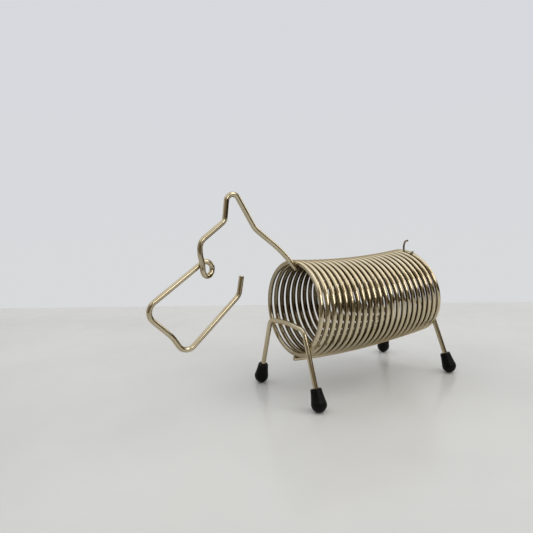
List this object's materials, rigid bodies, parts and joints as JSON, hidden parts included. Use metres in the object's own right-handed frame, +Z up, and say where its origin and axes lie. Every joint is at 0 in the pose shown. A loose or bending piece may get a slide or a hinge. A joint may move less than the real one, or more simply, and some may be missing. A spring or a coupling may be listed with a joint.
{
  "type": "wire dog desk letter holder",
  "caption": "Wire dog desk holder: coil spring body that grips mail between its turns, bent-wire head and tail, splayed legs with rubber tips.",
  "frame": {"origin": "on the table, below the middle of the figure's bounding box", "axes": "+X forward to the head, +Y to the dog's left, +Z up"},
  "size_m": [0.2244, 0.0782, 0.1383],
  "materials": {
    "gold_wire": "bright champagne-gold plating on drawn steel wire",
    "black_rubber": "matte black moulded rubber"
  },
  "bodies": {
    "wire_dog": {"body_coil": "gold_wire", "belly_rod": "gold_wire", "head_wire": "gold_wire", "front_leg_bow": "gold_wire", "rear_leg_bow": "gold_wire", "tail_wire": "gold_wire"},
    "front_left_tip": {"front_left_foot": "black_rubber"},
    "front_right_tip": {"front_right_foot": "black_rubber"},
    "rear_left_tip": {"rear_left_foot": "black_rubber"},
    "rear_right_tip": {"rear_right_foot": "black_rubber"}
  },
  "joints": [
    {"name": "front_left_foot_twist", "type": "hinge", "parent": "wire_dog", "child": "front_left_tip", "pos_m": [0.01738, 0.034, 0.00495], "axis": [-0.0028, -0.3108, 0.9505], "continuous": true},
    {"name": "front_right_foot_twist", "type": "hinge", "parent": "wire_dog", "child": "front_right_tip", "pos_m": [0.01738, -0.034, 0.00495], "axis": [-0.0028, 0.3108, 0.9505], "continuous": true},
    {"name": "rear_left_foot_twist", "type": "hinge", "parent": "wire_dog", "child": "rear_left_tip", "pos_m": [-0.10712, 0.034, 0.00495], "axis": [0.1139, -0.3087, 0.9443], "continuous": true},
    {"name": "rear_right_foot_twist", "type": "hinge", "parent": "wire_dog", "child": "rear_right_tip", "pos_m": [-0.10712, -0.034, 0.00495], "axis": [0.1139, 0.3087, 0.9443], "continuous": true}
  ]
}
